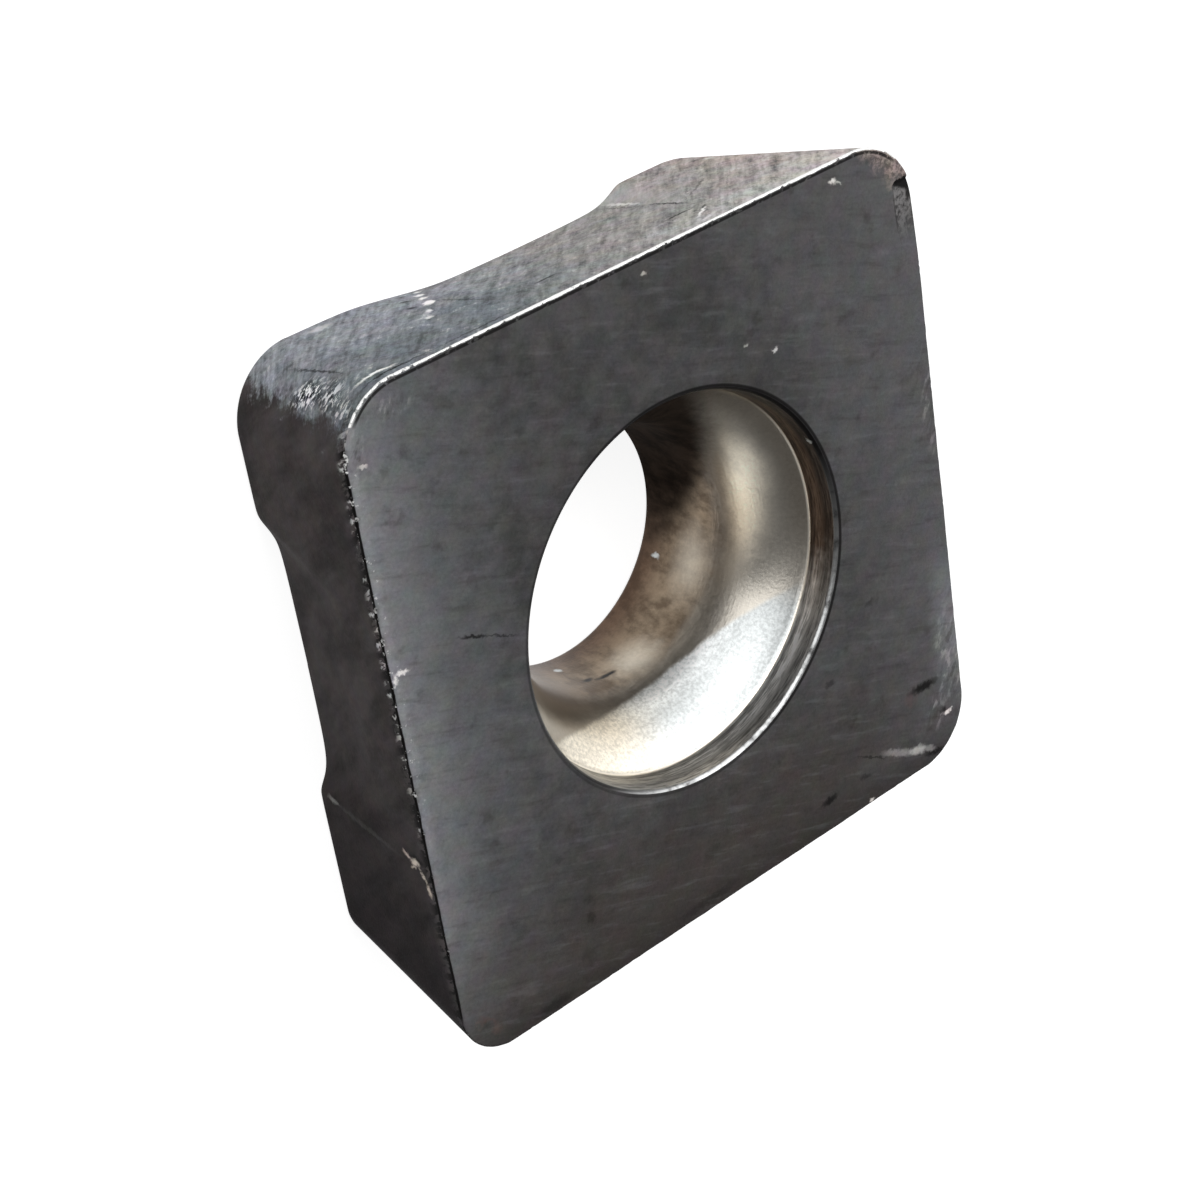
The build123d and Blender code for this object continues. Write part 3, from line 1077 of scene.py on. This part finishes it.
    return finish.surface(
        Base_Color=shade.colour,
        Metallic=1 - 0.85 * bore_shade,
        Roughness=0.32 + 0.14 * (grain - 0.5) + 0.1 * painted_highlight + 0.3 * bore_shade,
        Normal=finish.bump(0.6 * grain + 0.4 * brushed, 0.3, 0.02),
        Specular_IOR_Level=0,
    )

shell.data.materials.append(coating("coated_carbide", rake_colour, shine=0.1))
shell.data.materials.append(hole_metal())
shell.data.materials.append(coating("coated_flank", flank_colour, shine=0.015))
for material in shell.data.materials:
    print(material.name, len(material.node_tree.nodes), "nodes")

# %% [markdown]
# ## Floor
#
# The insert lies on its seat on a plain pale floor. To the camera and to shiny metal the floor glows, with
# the insert's shadow on it. To any other ray it is a plain pale sheet, because the glow would light the
# insert from below.

# %% Floor
floor_gap = 0.01 / METRE
floor_half = 3.0
FLOOR_GLOW = 0.86
FLOOR_SHADOWED = grey(0.34)
FLOOR_PLAIN = grey(0.8)

corners = [(x * floor_half, y * floor_half, -floor_gap) for x, y in ((-1, -1), (1, -1), (1, 1), (-1, 1))]
mesh = bpy.data.meshes.new("floor")
mesh.from_pydata(corners, [], [(0, 1, 2, 3)])
floor = bpy.data.objects.new("floor", mesh)
bpy.context.scene.collection.objects.link(floor)
finish = Finish("pale_floor")
seen = finish.node("ShaderNodeLightPath", out="Is Camera Ray")
for kind in ("Glossy", "Transmission"):
    seen = seen.most(finish.node("ShaderNodeLightPath", out=f"Is {kind} Ray"))
glow = finish.node("ShaderNodeEmission", {"Color": (1, 1, 1, 1), "Strength": FLOOR_GLOW})
shadowed = finish.node("ShaderNodeBsdfDiffuse", {"Color": FLOOR_SHADOWED})
shown = finish.node("ShaderNodeAddShader", {0: glow, 1: shadowed})
plain = finish.node("ShaderNodeBsdfDiffuse", {"Color": FLOOR_PLAIN})
whole = finish.node("ShaderNodeMixShader", {0: seen, 1: plain, 2: shown})
finish.node("ShaderNodeOutputMaterial", {"Surface": whole})
mesh.materials.append(finish.material)
print("floor", 2 * floor_half, "m wide")

# %% [markdown]
# ## Light
#
# A curved wall of soft light, made of three flat panels, stands on one side and nothing on the other. Bare
# metal only shows what is round it, so the flare of the hole has one bright part and one dark part.

# %% Light
panel_azimuths = {"panel_a": 18, "panel_b": 72, "panel_c": 126}
panel_elevation = 38
panel_distance = 0.30
panel_width = 0.30
panel_height = 0.26
panel_watts = 0.55
world_strength = 0.20

def direction(azimuth, elevation):
    """The direction at this azimuth from +X and this elevation, in degrees."""
    azimuth = np.radians(azimuth)
    elevation = np.radians(elevation)
    flat = np.cos(elevation)
    return Vector((flat * np.cos(azimuth), flat * np.sin(azimuth), np.sin(elevation)))

for name, azimuth in panel_azimuths.items():
    light = bpy.data.lights.new(name, "AREA")
    light.shape = "RECTANGLE"
    light.size = panel_width
    light.size_y = panel_height
    light.energy = panel_watts
    panel = bpy.data.objects.new(name, light)
    towards = direction(azimuth, panel_elevation)
    panel.location = panel_distance * towards
    panel.rotation_euler = towards.to_track_quat("Z", "Y").to_euler()
    panel.visible_camera = False
    bpy.context.scene.collection.objects.link(panel)

world = bpy.data.worlds.new("studio")
world.use_nodes = True
background = world.node_tree.nodes["Background"].inputs
background["Color"].default_value = (1, 1, 1, 1)
background["Strength"].default_value = world_strength
bpy.context.scene.world = world
print(len(panel_azimuths), "panels of", panel_watts, "W")

# %% [markdown]
# ## Camera
#
# The camera looks down at the insert from one corner, and is turned about its own line of sight.

# %% Camera
camera_aim = Vector((-0.459, -0.538, 1.985)) / METRE
camera_range = 50.64 / METRE
camera_azimuth = 137.87
camera_elevation = 44.292
camera_roll = 112.754
camera_lens = 85.5
sensor_width = 36.0
nearest_seen = 0.001

camera = bpy.data.cameras.new("camera")
camera.lens = camera_lens
camera.sensor_width = sensor_width
camera.clip_start = nearest_seen
back = direction(camera_azimuth, camera_elevation)
level = Vector((0, 0, 1)).cross(back).normalized()
up = back.cross(level)
roll = np.radians(camera_roll)
right = np.cos(roll) * level + np.sin(roll) * up
turned = Matrix((right, back.cross(right), back)).transposed().to_4x4()
taker = bpy.data.objects.new("camera", camera)
taker.matrix_world = Matrix.Translation(camera_aim + camera_range * back) @ turned
bpy.context.scene.collection.objects.link(taker)
bpy.context.scene.camera = taker
bpy.context.scene.view_settings.view_transform = "Standard"
print("camera", round(camera_range * METRE, 1), "mm from its aim")

# %% [markdown]
# ## Close the scene
#
# The view layer is brought up to date. Looks never change the part's size.

# %% Close the scene
bpy.context.view_layer.update()
